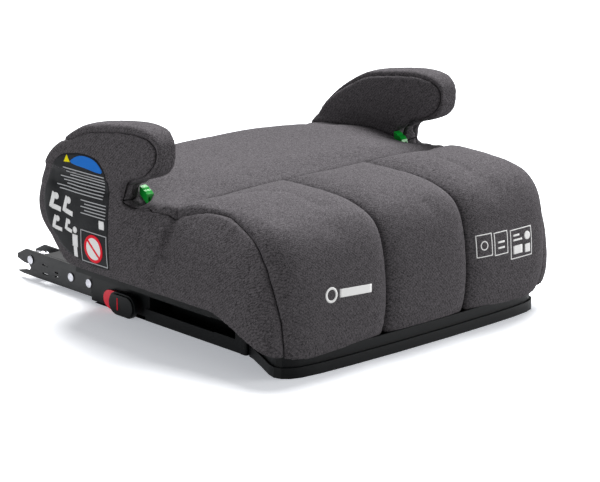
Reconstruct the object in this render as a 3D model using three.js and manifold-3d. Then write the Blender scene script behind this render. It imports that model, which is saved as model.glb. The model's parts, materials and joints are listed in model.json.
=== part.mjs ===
// Backless booster seat for a car: a moulded shell with padded knit covers, two low armrests, green lap
// belt guides, and two steel anchor arms that slide out of rails under the seat.
// Millimetres. +Z is up, the child faces -Y, and the anchor arms reach out behind, along +Y.
// The origin is on the ground, in the middle of the seat's width. "left" and "right" are the seated
// child's own: right is -X and left is +X. Everything is drawn on the right and mirrored to the left.
import * as THREE from "three";
import { mergeVertices } from "three/addons/utils/BufferGeometryUtils.js";
import Module from "manifold-3d";

const wasm = await Module();
wasm.setup();

// ---- driving dimensions ----------------------------------------------------------------------------
const GAP = 0.3; // air left between pieces that touch
const SIDES = [["right", 1], ["left", -1]]; // the right side is drawn, the left is its mirror image

const HALF_WIDTH = 220; // middle plane to the outer face of a side cover
const FRONT = -212;
const REAR = 187;
const DECK_TOP = 157; // top of the seat cushion
const HEM = 61; // height of the cover's lower edge along the sides
const FRONT_CORNER = 72; // plan radius of the front corners
const REAR_CORNER = 55;
const COVER = 10; // knit cover with its bonded foam

const SEAM_ACROSS = -45; // seam between the seat panel and the three front panels
const SEAM_FRONT = 58; // the two front seams lie this far each side of the middle
const SEAM_SIDE = 196; // seams between the top panels and the side panels
const SEAM_REAR = { y: 140, z: 128 }; // the rear panel lies behind and below this line
const PANEL_LOW = 100; // the seat panel has nothing below this height
const UNDERSIDE_INSET = 32; // the covers turn in under the body by this much

const ARMREST_THICK = 38;
const ARMREST_TOP = 227;
const NOSE = -52; // foremost point of an armrest

const ARM_OUTER = 156; // outer face of an anchor arm, for anchor bars 280 mm apart
const ARM_WIDTH = 28;
const ARM_LOW = 4.5;
const ARM_HIGH = 33.5;
const ARM_TIP = 283;
const PLATE = 3; // sheet thickness of the arm's side plates
const STAMPED = [[232, 12, 5], [232, 22, 5], [211, 13, 3], [211, 18, 3]]; // slots: y, z and half length
const BRIDGE_REAR = 236; // the strip that joins the two plates stops short of the hook
const HOOK = [138, 151]; // the hook lies between these distances from the middle plane
const PAWL = [141, 149];
const JAW_PIVOT = [258, 23]; // y and z of the three rivets
const PAWL_PIVOT = [184, 19];
const SLEEVE_RIVET = [152, 19];
const RIVET_RADIUS = 5;
const PIN_RADIUS = 3;
const SLEEVE_REAR = 148;
const SLEEVE_FRONT = 48;
const BUTTON_CENTRE = [79, 13.2];
const BUTTON_SIZE = [44, 25.4];
const BUTTON_FACE = 171; // distance of the button's face from the middle plane
const BUTTON_DEPTH = 6;
const BUTTON_TRAVEL = 3.5;
const STEM = { y: [76, 84], z: [15.4, 22], inner: 150 };

const RAIL_OUTER = 159;
const RAIL_INNER = 125;
const RAIL_WALL = 2.4;
const RAIL_INNER_WALL = 1.2;
const RAIL_FRONT = -101;
const RAIL_REAR = 52;
const RAIL_TOP = 37.7;
const RAIL_SLOT = { z: [13.5, 28], front: -60 }; // the button's stem runs along it

const TRAY_RIM = 22;
const SCREWS = [[-95, -150], [95, -150], [-95, 110], [95, 110]];

// ---- materials -------------------------------------------------------------------------------------
const material = (color, roughness, metalness = 0) =>
  new THREE.MeshStandardMaterial({ color, roughness, metalness });
const KNIT = material(0x5d5a5e, 0.95);
const FOAM = material(0xd8d4c8, 0.95);
const BLACK_PLASTIC = material(0x1f2124, 0.6);
const GREEN_PLASTIC = material(0x14923a, 0.45);
const RED_PLASTIC = material(0xc8203a, 0.4);
const BLACK_STEEL = material(0x3c3f42, 0.5, 0.6);
const ZINC = material(0xc9cacf, 0.35, 0.9);
const LABEL = material(0x25282b, 0.6);

// ---- solids ----------------------------------------------------------------------------------------
function solidOf(geometry) {
  const bare = geometry.index ? geometry.toNonIndexed() : geometry.clone();
  bare.deleteAttribute("normal");
  bare.deleteAttribute("uv");
  const merged = mergeVertices(bare, 1e-4);
  return new wasm.Manifold(
    new wasm.Mesh({
      numProp: 3,
      vertProperties: new Float32Array(merged.attributes.position.array),
      triVerts: new Uint32Array(merged.index.array),
    }),
  );
}

function geometryOf(solid) {
  const mesh = solid.getMesh();
  const geometry = new THREE.BufferGeometry();
  geometry.setAttribute("position", new THREE.BufferAttribute(new Float32Array(mesh.vertProperties), 3));
  geometry.setIndex(new THREE.BufferAttribute(new Uint32Array(mesh.triVerts), 1));
  return geometry;
}

const join = (...solids) => solids.reduce((whole, piece) => whole.add(piece));
const cut = (whole, ...tools) => tools.reduce((left, tool) => left.subtract(tool), whole);
const common = (...solids) => solids.reduce((whole, piece) => whole.intersect(piece));

// Directions that an outline's own x, y and its thickness take in the seat's frame.
const X = new THREE.Vector3(1, 0, 0);
const Y = new THREE.Vector3(0, 1, 0);
const Z = new THREE.Vector3(0, 0, 1);
const AS_SIDE = new THREE.Matrix4().makeBasis(Y, Z, X);
const AS_PLAN = new THREE.Matrix4();
const AS_FRONT = new THREE.Matrix4().makeBasis(X, Z, Y.clone().negate());

function slab(outline, low, high, basis) {
  const shape = new THREE.Shape(outline.map(([a, b]) => new THREE.Vector2(a, b)));
  const geometry = new THREE.ExtrudeGeometry(shape, {
    depth: high - low,
    bevelEnabled: false,
    curveSegments: 4,
  });
  const start = basis === AS_FRONT ? -high : low;
  return solidOf(geometry.translate(0, 0, start).applyMatrix4(basis));
}

const sideSlab = (outline, low, high) => slab(outline, low, high, AS_SIDE);
const planSlab = (outline, low, high) => slab(outline, low, high, AS_PLAN);
const frontSlab = (outline, low, high) => slab(outline, low, high, AS_FRONT);

const box = (x, y, z) =>
  solidOf(
    new THREE.BoxGeometry(x[1] - x[0], y[1] - y[0], z[1] - z[0]).translate(
      (x[0] + x[1]) / 2,
      (y[0] + y[1]) / 2,
      (z[0] + z[1]) / 2,
    ),
  );

// A round bar along X from one distance to another, with its centre at a y and z.
function barAlongX([y, z], radius, low, high, sides = 12) {
  const bar = new THREE.CylinderGeometry(radius, radius, high - low, sides);
  return solidOf(bar.rotateZ(Math.PI / 2).translate((low + high) / 2, y, z));
}

function barAlongZ([x, y], radius, low, high, sides = 12) {
  const bar = new THREE.CylinderGeometry(radius, radius, high - low, sides);
  return solidOf(bar.rotateX(Math.PI / 2).translate(x, y, (low + high) / 2));
}

// Points along a smooth closed curve through a few given ones.
function smooth(points, count) {
  const curve = new THREE.CatmullRomCurve3(
    points.map(([a, b]) => new THREE.Vector3(a, b, 0)),
    true,
    "centripetal",
  );
  return curve.getPoints(count).slice(0, count).map((point) => [point.x, point.y]);
}

function distanceToEdge([px, py], [ax, ay], [bx, by]) {
  const along = ((px - ax) * (bx - ax) + (py - ay) * (by - ay)) / ((bx - ax) ** 2 + (by - ay) ** 2);
  const t = Math.min(1, Math.max(0, along));
  return Math.hypot(px - ax - t * (bx - ax), py - ay - t * (by - ay));
}

// An anticlockwise outline moved outwards by a distance, or inwards by a negative one. Points that the
// move would fold over at a tight corner are left out.
function offset(outline, distance) {
  const next = (i) => outline[(i + 1) % outline.length];
  const before = (i) => outline[(i + outline.length - 1) % outline.length];
  const moved = outline.map(([a, b], i) => {
    const along = [next(i)[0] - before(i)[0], next(i)[1] - before(i)[1]];
    const length = Math.hypot(...along);
    return [a + (distance * along[1]) / length, b - (distance * along[0]) / length];
  });
  const nearest = (point) => Math.min(...outline.map((start, i) => distanceToEdge(point, start, next(i))));
  return moved.filter((point) => nearest(point) > Math.abs(distance) * 0.9 - 1e-6);
}

// A rectangle with its own radius at each corner, anticlockwise from the low left.
function roundedRectangle([x0, x1], [y0, y1], radii, steps = 5) {
  const corners = [
    [x0 + radii[0], y0 + radii[0], radii[0], 180],
    [x1 - radii[1], y0 + radii[1], radii[1], 270],
    [x1 - radii[2], y1 - radii[2], radii[2], 0],
    [x0 + radii[3], y1 - radii[3], radii[3], 90],
  ];
  return corners.flatMap(([x, y, radius, start]) =>
    Array.from({ length: radius > 0 ? steps + 1 : 1 }, (_, i) => {
      const angle = THREE.MathUtils.degToRad(start + (90 * i) / steps);
      return [x + radius * Math.cos(angle), y + radius * Math.sin(angle)];
    }),
  );
}

// A wire wound as an open coil along X.
function coil([y, z], radius, wire, low, high, turns) {
  const points = Array.from({ length: turns * 8 + 1 }, (_, i) => {
    const angle = (i * Math.PI) / 4;
    const x = low + ((high - low) * i) / (turns * 8);
    return new THREE.Vector3(x, y + radius * Math.cos(angle), z + radius * Math.sin(angle));
  });
  const section = new THREE.Shape(roundedRectangle([-wire, wire], [-wire, wire], [wire, wire, wire, wire], 1)
    .map(([a, b]) => new THREE.Vector2(a, b)));
  return solidOf(
    new THREE.ExtrudeGeometry(section, {
      steps: turns * 8,
      bevelEnabled: false,
      extrudePath: new THREE.CatmullRomCurve3(points),
    }),
  );
}

// ---- the scene graph -------------------------------------------------------------------------------
const seat = new THREE.Group();

function place(name, solid, look) {
  const mesh = new THREE.Mesh(geometryOf(solid), look);
  mesh.name = name;
  seat.add(mesh);
}

// Places a piece drawn on the right side, and its mirror image on the left.
function placePair(name, solid, look) {
  for (const [side, sign] of SIDES) {
    place(`${name}_${side}`, sign === 1 ? solid : solid.mirror([1, 0, 0]), look);
  }
}

// ---- the upholstered body --------------------------------------------------------------------------
// Seen from the side: a blunt front that tucks in below, a nearly flat deck and a round back.
const BODY_SIDE = smooth(
  [
    [-196, 20], [-150, 48], [-90, HEM], [60, HEM], [148, HEM], [166, 72], [180, 98], [REAR, 130],
    [178, 147], [150, DECK_TOP - 4], [60, DECK_TOP - 2], [-60, DECK_TOP], [-150, DECK_TOP - 1],
    [-187, 143], [-206, 116], [FRONT, 78], [-208, 45],
  ],
  52,
);
const BODY_PLAN = roundedRectangle(
  [-HALF_WIDTH, HALF_WIDTH],
  [FRONT, REAR],
  [FRONT_CORNER, FRONT_CORNER, REAR_CORNER, REAR_CORNER],
  6,
);
const BODY_SECTION = smooth(
  [
    [0, 18], [HALF_WIDTH - 14, 18], [HALF_WIDTH, 62], [HALF_WIDTH - 3, 110], [HALF_WIDTH - 16, 146],
    [HALF_WIDTH - 60, 160], [0, 160], [60 - HALF_WIDTH, 160], [16 - HALF_WIDTH, 146],
    [3 - HALF_WIDTH, 110], [-HALF_WIDTH, 62], [14 - HALF_WIDTH, 18],
  ],
  44,
);

const body = (grow) =>
  common(
    sideSlab(offset(BODY_SIDE, grow), -300, 300),
    planSlab(offset(BODY_PLAN, grow), -50, 300),
    frontSlab(offset(BODY_SECTION, grow), -300, 300),
  );

// Seen from the side: an armrest rises from the rear corner, runs forward and ends in a round nose
// that overhangs the lap belt's way in. Its foot reaches down into the body.
const ARMREST_SIDE = smooth(
  [
    [14, 112], [80, 104], [160, 108], [REAR - 1, 128], [178, 158], [150, 184], [105, 209], [50, 222],
    [0, ARMREST_TOP], [-36, 222], [NOSE, 204], [-44, 187], [-20, 176], [6, 167], [15, 146],
  ],
  60,
);
const armrest = (grow, low, high) => sideSlab(offset(ARMREST_SIDE, grow), low, high);
const ARMREST_INNER = HALF_WIDTH - ARMREST_THICK;
const CORE_OUTER = HALF_WIDTH - COVER;
const CORE_INNER = ARMREST_INNER + COVER;
const CORE_INSET = -8;

const ALL = [-400, 400];
const mirrored = (solid) => join(solid, solid.mirror([1, 0, 0]));

// The belt guide sits in a pocket at the foot of the armrest's front edge.
const GUIDE = { x: [-187, -173], y: [9, 35], z: [138, 157] };
const guidePocket = mirrored(
  box([GUIDE.x[0] - GAP, GUIDE.x[1] + GAP], [GUIDE.y[0] - 2, GUIDE.y[1] + GAP], [GUIDE.z[0] - GAP, 162]),
);

function addCovers() {
  const underneath = planSlab(offset(BODY_PLAN, -UNDERSIDE_INSET), -20, 110);
  const skin = cut(body(0), body(-COVER), underneath, guidePocket);
  const bothArmrests = mirrored(armrest(GAP, -HALF_WIDTH - GAP, -ARMREST_INNER + GAP));
  const top = cut(common(skin, box([-SEAM_SIDE + GAP, SEAM_SIDE - GAP], ALL, ALL)), bothArmrests);
  const behind = (gap) => box(ALL, [SEAM_REAR.y - gap, 400], [-50, SEAM_REAR.z + gap]);
  const deck = box(ALL, [SEAM_ACROSS, 400], [PANEL_LOW, 400]);
  place("seat_panel", cut(common(top, deck), behind(GAP)), KNIT);
  place("rear_panel", common(top, behind(0)), KNIT);

  const ahead = box(ALL, [-400, SEAM_ACROSS - GAP], ALL);
  const frontSpan = (low, high) => common(top, ahead, box([low, high], ALL, ALL));
  place("front_panel_centre", frontSpan(-SEAM_FRONT, SEAM_FRONT), KNIT);
  placePair("front_panel", frontSpan(-400, -SEAM_FRONT - GAP), KNIT);

  const sideSkin = common(skin, box([-400, -SEAM_SIDE], ALL, ALL));
  const coreSpace = armrest(GAP, -CORE_OUTER, -ARMREST_INNER + GAP);
  const outerFace = armrest(0, -HALF_WIDTH, -CORE_OUTER);
  placePair("side_panel", join(cut(sideSkin, coreSpace), outerFace), KNIT);

  const clearOfBody = body(GAP);
  const boxing = cut(
    armrest(0, -CORE_OUTER + GAP, -CORE_INNER - GAP),
    armrest(CORE_INSET, -HALF_WIDTH, 0),
    clearOfBody,
    guidePocket,
  );
  placePair("armrest_cover", boxing, KNIT);
  const innerFace = armrest(0, -CORE_INNER, -ARMREST_INNER);
  placePair("armrest_inner_panel", cut(innerFace, clearOfBody, guidePocket), KNIT);
}

// ---- the moulded shell and its padding -------------------------------------------------------------
const PAD_LOW = 128;
const HOLLOW_ROOF = 116; // the shell is hollow from below up to this height
const SHELL_WALL = 24; // from the body's plan outline to the hollow
const PAD_PLAN = roundedRectangle([-176, 176], [-170, 150], [60, 60, 30, 30]);
const PILLAR_RADIUS = 7;
const SCREW_RADIUS = 2;
const SCREW_TIP = 28;
const BOSS_TOP = 8; // the tray's bosses meet the shell's pillars at this height

function addShell() {
  const inner = body(-COVER - GAP);
  const padSpace = common(inner, planSlab(PAD_PLAN, PAD_LOW, 300));
  const hollow = planSlab(offset(BODY_PLAN, -SHELL_WALL), -20, HOLLOW_ROOF);
  const core = armrest(CORE_INSET - GAP, -CORE_OUTER + GAP, -CORE_INNER - GAP);
  const pillars = SCREWS.map((spot) =>
    cut(
      barAlongZ(spot, PILLAR_RADIUS, BOSS_TOP + GAP, HOLLOW_ROOF + 4),
      barAlongZ(spot, SCREW_RADIUS + GAP, 0, SCREW_TIP + 2),
    ),
  );
  const padPocket = planSlab(offset(PAD_PLAN, GAP), PAD_LOW - GAP, 300);
  const shell = cut(join(inner, mirrored(core)), hollow, padPocket);
  place("seat_shell", cut(join(shell, ...pillars), guidePocket), BLACK_PLASTIC);
  place("seat_foam", cut(padSpace, guidePocket), FOAM);
}

// ---- tray, screws ----------------------------------------------------------------------------------
const TRAY_REAR = 146;
const TRAY_WALL = 3;
const CHANNEL_INNER = RAIL_INNER - GAP;
const CHANNEL_ROOF = RAIL_TOP + GAP;
const SKIRT_OUTER = 178;
const SKIRT_TOP = 58;
const TRAY_NOSE_REAR = -112;
// The left half of the nose seen from above: a shallow bow, a rounded corner, and sides that taper in.
const TRAY_NOSE_EDGE = [
  [40, -204],
  [100, -202.5],
  [140, -200.5],
  [163, -197.5],
  [174, -193.5],
  [181, -187],
  [183.5, -179],
  [181, -169],
  [170, -145],
  [160, -122],
  [157, TRAY_NOSE_REAR],
];
const HEAD_RADIUS = 4;
const HEAD_TOP = 4;
const RECESS_INSET = 2.5; // the tray's upper band lies this far inside its lower bead
const CROSS = { half: 2.4, width: 0.5, depth: 2.2 };

function addTray() {
  const nosePlan = [...TRAY_NOSE_EDGE, ...TRAY_NOSE_EDGE.map(([x, y]) => [-x, y]).reverse()];
  const bead = planSlab(nosePlan, 0, TRAY_RIM / 2);
  const recess = planSlab(offset(nosePlan, -RECESS_INSET), TRAY_RIM / 2, TRAY_RIM);
  const noseHollow = planSlab(offset(nosePlan, -RECESS_INSET - TRAY_WALL), TRAY_WALL, 50);
  const floor = box([-CHANNEL_INNER, CHANNEL_INNER], [TRAY_NOSE_REAR - 10, TRAY_REAR], [0, TRAY_WALL]);
  const innerX = -CHANNEL_INNER + TRAY_WALL;
  const skirtX = -SKIRT_OUTER + TRAY_WALL;
  const roofTop = CHANNEL_ROOF + TRAY_WALL;
  const channelSection = [
    [-CHANNEL_INNER, 0], [innerX, 0], [innerX, roofTop], [skirtX, roofTop], [skirtX, SKIRT_TOP],
    [-SKIRT_OUTER, SKIRT_TOP], [-SKIRT_OUTER, CHANNEL_ROOF], [-CHANNEL_INNER, CHANNEL_ROOF],
  ];
  const channel = frontSlab(channelSection, TRAY_NOSE_REAR - 10, TRAY_REAR);
  const rearWall = box([-CHANNEL_INNER, CHANNEL_INNER], [TRAY_REAR - TRAY_WALL, TRAY_REAR], [0, SKIRT_TOP]);
  const hollowNose = cut(join(bead, recess), noseHollow);
  const bosses = SCREWS.map((spot) => barAlongZ(spot, PILLAR_RADIUS, 0, BOSS_TOP));
  const holes = SCREWS.flatMap((spot) => [
    barAlongZ(spot, SCREW_RADIUS + GAP, -1, BOSS_TOP + 1),
    barAlongZ(spot, HEAD_RADIUS + GAP, -1, HEAD_TOP),
  ]);
  const tray = cut(join(hollowNose, floor, mirrored(channel), rearWall, ...bosses), ...holes);
  place("base_tray", cut(tray, body(GAP)), BLACK_PLASTIC);
}

function addScrews() {
  const around = (centre, half) => [centre - half, centre + half];
  SCREWS.forEach(([x, y], i) => {
    const head = barAlongZ([x, y], HEAD_RADIUS, 0.8, HEAD_TOP - GAP);
    const depth = [0, CROSS.depth];
    const cross = join(
      box(around(x, CROSS.half), around(y, CROSS.width), depth),
      box(around(x, CROSS.width), around(y, CROSS.half), depth),
    );
    const shaft = barAlongZ([x, y], SCREW_RADIUS, HEAD_TOP - 1, SCREW_TIP);
    place(`tray_screw_${i + 1}`, join(cut(head, cross), shaft), ZINC);
  });
}

// ---- lap belt guides and the label -----------------------------------------------------------------
function addBeltGuides() {
  // A short hook: its root is held in the pocket, and its lip turns down at the front.
  const [front, back] = GUIDE.y;
  const [low, high] = GUIDE.z;
  const outline = [
    [back, low], [back, high], [front + 4, high - 3], [front, high - 7], [front, low], [front + 4, low],
    [front + 7, low + 8], [back - 6, low + 10], [back - 4, low],
  ];
  placePair("belt_guide", sideSlab(outline.reverse(), ...GUIDE.x), GREEN_PLASTIC);
}

function addLabel() {
  const outline = smooth(
    [[38, 70], [84, 71], [126, 84], [132, 128], [112, 160], [76, 176], [44, 160], [38, 120]],
    28,
  );
  place("label_patch", sideSlab(outline, -HALF_WIDTH - 1.2, -HALF_WIDTH - GAP), LABEL);
}

// ---- guide rails -----------------------------------------------------------------------------------
const RAIL_LOW = 0.4;
const RATCHET = { count: 6, pitch: 20, first: 20, length: 8, z: [8, 30] };
const STOP_LENGTH = 10;

function addRails() {
  // A channel that is open below, with a slot along its outer wall for the button's stem.
  const section = frontSlab(
    [[-RAIL_OUTER, RAIL_LOW], [-RAIL_INNER, RAIL_LOW], [-RAIL_INNER, RAIL_TOP], [-RAIL_OUTER, RAIL_TOP]],
    RAIL_FRONT,
    TRAY_REAR,
  );
  const below = [-10, RAIL_TOP - RAIL_WALL];
  const outerWall = [-400, -RAIL_OUTER + RAIL_WALL + 1];
  const inside = box([-RAIL_OUTER + RAIL_WALL, -RAIL_INNER - RAIL_INNER_WALL], ALL, below);
  const slot = box(outerWall, [RAIL_SLOT.front, 400], RAIL_SLOT.z);
  const openRear = box(outerWall, [RAIL_REAR, 400], below);
  const ratchet = Array.from({ length: RATCHET.count }, (_, i) => {
    const y = RAIL_FRONT + RATCHET.first + i * RATCHET.pitch;
    return box([-RAIL_INNER - RAIL_INNER_WALL - 1, 0], [y, y + RATCHET.length], RATCHET.z);
  });
  placePair("guide_rail", cut(section, inside, slot, openRear, ...ratchet), BLACK_PLASTIC);

  const stopPlan = roundedRectangle(
    [-RAIL_OUTER - 1.5, -RAIL_INNER],
    [RAIL_FRONT - STOP_LENGTH, RAIL_FRONT - GAP],
    [3, 3, 0, 0],
  );
  placePair("rail_end_stop", planSlab(stopPlan, RAIL_LOW, RAIL_TOP), BLACK_PLASTIC);
}

// ---- anchor arms -----------------------------------------------------------------------------------
const ARM_INNER = ARM_OUTER - ARM_WIDTH;
const HEAD_HEIGHT = 1; // of a rivet's head
const pinHole = (spot) => barAlongX(spot, PIN_RADIUS + GAP, -400, 0);
const INDICATOR = 2.1; // thickness of the red plate
const NOTCH = { y: 262, z: 13.5, mouth: 7.2, slot: 4, straight: 8 };

function addArmPlates() {
  const start = SLEEVE_REAR + GAP;
  const throat = NOTCH.y + NOTCH.straight;
  const outline = [
    [start, ARM_LOW], [ARM_TIP - 11, ARM_LOW], [ARM_TIP - 2, ARM_LOW + 1], [ARM_TIP, NOTCH.z - NOTCH.mouth],
    [throat, NOTCH.z - NOTCH.slot], [NOTCH.y, NOTCH.z - NOTCH.slot], [NOTCH.y - 3, NOTCH.z],
    [NOTCH.y, NOTCH.z + NOTCH.slot], [throat, NOTCH.z + NOTCH.slot], [ARM_TIP, NOTCH.z + NOTCH.mouth],
    [ARM_TIP, ARM_HIGH - 7.5], [ARM_TIP - 15, ARM_HIGH], [start, ARM_HIGH],
  ];
  const outer = sideSlab(outline, -ARM_OUTER, -ARM_OUTER + PLATE);
  const inner = sideSlab(outline, -ARM_INNER - PLATE, -ARM_INNER);
  const pins = [JAW_PIVOT, PAWL_PIVOT, SLEEVE_RIVET].map(pinHole);
  const slots = STAMPED.map(([y, z, half]) => box([-400, 0], [y - half, y + half], [z - 0.8, z + 0.8]));
  placePair("arm_plate_outer", cut(outer, ...pins, ...slots), BLACK_STEEL);
  // The inner plate carries a bridge along the top that joins the two plates into one box section.
  const span = [-ARM_OUTER + PLATE + GAP, -ARM_INNER];
  const bridge = box(span, [start, BRIDGE_REAR], [ARM_HIGH - 2, ARM_HIGH]);
  placePair("arm_plate_inner", cut(join(inner, bridge), ...pins, ...slots), BLACK_STEEL);
}

function addRivets() {
  const rivets = { jaw_rivet: JAW_PIVOT, pawl_rivet: PAWL_PIVOT, sleeve_rivet: SLEEVE_RIVET };
  for (const [name, spot] of Object.entries(rivets)) {
    const shaft = barAlongX(spot, PIN_RADIUS, -ARM_OUTER - GAP, -ARM_INNER + GAP);
    const heads = [
      barAlongX(spot, RIVET_RADIUS, -ARM_OUTER - GAP - HEAD_HEIGHT, -ARM_OUTER - GAP),
      barAlongX(spot, RIVET_RADIUS, -ARM_INNER + GAP, -ARM_INNER + GAP + HEAD_HEIGHT),
    ];
    placePair(name, join(shaft, ...heads), ZINC);
  }
}

const SLEEVE = { z: [3.1, 34.8], footFront: 102, footLow: 1, tongueRear: 166, tongueZ: [7, 30] };
const STEM_POCKET = 138; // the stem's pocket ends this far from the middle plane
const stemHole = (depth) =>
  box([-400, -depth], [STEM.y[0] - GAP, STEM.y[1] + GAP], [STEM.z[0] - GAP, STEM.z[1] + GAP]);

function addSleeve() {
  const width = [-ARM_OUTER - GAP, -ARM_INNER + GAP];
  const block = box(width, [SLEEVE_FRONT, SLEEVE_REAR], SLEEVE.z);
  const foot = box(width, [SLEEVE.footFront, SLEEVE_REAR], [SLEEVE.footLow, SLEEVE.z[0] + 1]);
  const between = [-ARM_OUTER + PLATE + GAP, -ARM_INNER - PLATE - GAP];
  const tongue = box(between, [SLEEVE_REAR - 1, SLEEVE.tongueRear], SLEEVE.tongueZ);
  const body = join(block, foot, tongue);
  placePair("arm_sleeve", cut(body, stemHole(STEM_POCKET), pinHole(SLEEVE_RIVET)), BLACK_PLASTIC);
}

function addJaw() {
  // The hook lies open in the upper jaw, and swings down across the notch to hold an anchor bar.
  const [y, z] = JAW_PIVOT;
  const [near, far] = HOOK;
  const hub = barAlongX(JAW_PIVOT, 7, -far, -near, 20);
  const tooth = [[y, z - 2.5], [y + 15, z - 2], [y + 18, z], [y + 17, z + 3], [y + 10, z + 5.5], [y, z + 6]];
  const tail = [[y, z - 1], [y, z + 6], [y - 8, z + 6], [y - 10, z + 3], [y - 8, z]];
  const hook = join(hub, sideSlab(tooth, -far, -near), sideSlab(tail, -far, -near));
  placePair("jaw_hook", cut(hook, pinHole(JAW_PIVOT)), ZINC);
  placePair("jaw_spring", coil(JAW_PIVOT, 5, 0.6, 2 - near, -ARM_INNER - PLATE - 1.4, 2), ZINC);
}

function addPawl() {
  const [y, z] = PAWL_PIVOT;
  const outline = [
    [y - 12, z - 4], [y + 2, z - 6], [y + 40, z - 3], [y + 57, z + 3], [y + 57, z + 8], [y + 50, z + 6],
    [y + 38, z + 3], [y + 2, z + 6], [y - 12, z + 4],
  ];
  const lever = sideSlab(outline, -PAWL[1], -PAWL[0]);
  placePair("release_pawl", cut(lever, pinHole(PAWL_PIVOT)), BLACK_STEEL);
}

function stadium([y, z], [length, height], grow) {
  const half = height / 2 + grow;
  return roundedRectangle(
    [y - length / 2 - grow, y + length / 2 + grow],
    [z - half, z + half],
    [half, half, half, half],
    7,
  );
}

function addButton() {
  const outer = stadium(BUTTON_CENTRE, BUTTON_SIZE, 0);
  const face = sideSlab(outer, -BUTTON_FACE + 2, -BUTTON_FACE + BUTTON_DEPTH);
  const dome = sideSlab(stadium(BUTTON_CENTRE, BUTTON_SIZE, -2), -BUTTON_FACE, -BUTTON_FACE + 3);
  const stem = box([-BUTTON_FACE + 3, -STEM.inner], STEM.y, STEM.z);
  placePair("release_button", join(face, dome, stem), BLACK_PLASTIC);

  // The indicator is a red plate behind the button that shows past its rear end, with a foot that
  // reaches in through the rail's slot to the sleeve.
  const [y, z] = BUTTON_CENTRE;
  const outline = stadium([y + 9, z], [BUTTON_SIZE[0] + 6, BUTTON_SIZE[1]], -0.2);
  const plate = sideSlab(outline, -RAIL_OUTER - GAP - INDICATOR, -RAIL_OUTER - GAP);
  const foot = box(
    [-RAIL_OUTER - GAP - 1, -ARM_OUTER - 2 * GAP],
    [BUTTON_CENTRE[0] + 9, BUTTON_CENTRE[0] + 17],
    [STEM.z[0], STEM.z[1] + 3],
  );
  placePair("lock_indicator", cut(join(plate, foot), stemHole(0)), RED_PLASTIC);

  // The spring waits just past the stem's inner end at full travel.
  const spot = [(STEM.y[0] + STEM.y[1]) / 2, (STEM.z[0] + STEM.z[1]) / 2];
  const wire = 0.4;
  const start = -STEM.inner + BUTTON_TRAVEL + GAP + wire;
  placePair("button_spring", coil(spot, 2.3, wire, start, -STEM_POCKET - GAP - wire, 3), ZINC);
}

addCovers();
addShell();
addTray();
addScrews();
addBeltGuides();
addLabel();
addRails();
addArmPlates();
addRivets();
addSleeve();
addJaw();
addPawl();
addButton();

export default seat;
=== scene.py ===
# The looks of a backless booster seat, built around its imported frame: padded knit covers made as
# rounded solids from distance fields and then puffed by cloth simulation, with moulded plastic, coated
# steel and bright rivets around them. Shapes are worked out in millimetres in the frame's own axes:
# the seated child faces -Y, and the right side is -X.
import json
import math

import bmesh
import bpy
import numpy as np
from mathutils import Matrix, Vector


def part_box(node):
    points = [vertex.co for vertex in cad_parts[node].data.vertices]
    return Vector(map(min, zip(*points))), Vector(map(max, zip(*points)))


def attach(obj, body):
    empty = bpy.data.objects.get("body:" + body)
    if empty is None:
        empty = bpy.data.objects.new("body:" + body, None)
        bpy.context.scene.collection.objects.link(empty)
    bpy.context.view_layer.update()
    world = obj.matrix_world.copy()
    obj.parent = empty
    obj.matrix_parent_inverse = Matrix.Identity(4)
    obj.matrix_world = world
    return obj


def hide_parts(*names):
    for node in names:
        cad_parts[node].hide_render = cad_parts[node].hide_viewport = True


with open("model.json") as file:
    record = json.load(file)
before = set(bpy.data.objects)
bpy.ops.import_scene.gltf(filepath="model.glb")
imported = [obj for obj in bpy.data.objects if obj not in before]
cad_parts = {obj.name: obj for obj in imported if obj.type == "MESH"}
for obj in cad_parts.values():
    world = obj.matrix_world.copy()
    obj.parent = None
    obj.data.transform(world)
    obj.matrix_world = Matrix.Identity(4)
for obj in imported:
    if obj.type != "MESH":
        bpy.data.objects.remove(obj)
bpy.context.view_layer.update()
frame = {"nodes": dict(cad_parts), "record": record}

import openvdb
from mathutils import Vector
from mathutils.bvhtree import BVHTree
from mathutils.kdtree import KDTree

MM = 0.001


def box_mm(node):
    """The lowest and highest corners of a CAD node, in millimetres."""
    low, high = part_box(node)
    return np.array(low) / MM, np.array(high) / MM


# ---- driving sizes, from the frame ----
HALF_WIDTH = -box_mm("side_panel_right")[0][0]
FRONT = box_mm("front_panel_centre")[0][1]
REAR = box_mm("rear_panel")[1][1]
HEM_ROLL = 6.0  # how far the hem rolls under the front panels
HEM_FRONT = box_mm("front_panel_centre")[0][2] - HEM_ROLL
SEAM_FRONT = box_mm("front_panel_centre")[1][0]
SEAM_ACROSS = box_mm("front_panel_centre")[1][1]
SEAM_REAR = box_mm("rear_panel")[1][2]
ARMREST_TOP = box_mm("armrest_cover_right")[1][2]
ARMREST_INNER = -box_mm("armrest_inner_panel_right")[1][0]

HEM_SIDE = 61.0  # height of the hem along the sides
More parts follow.
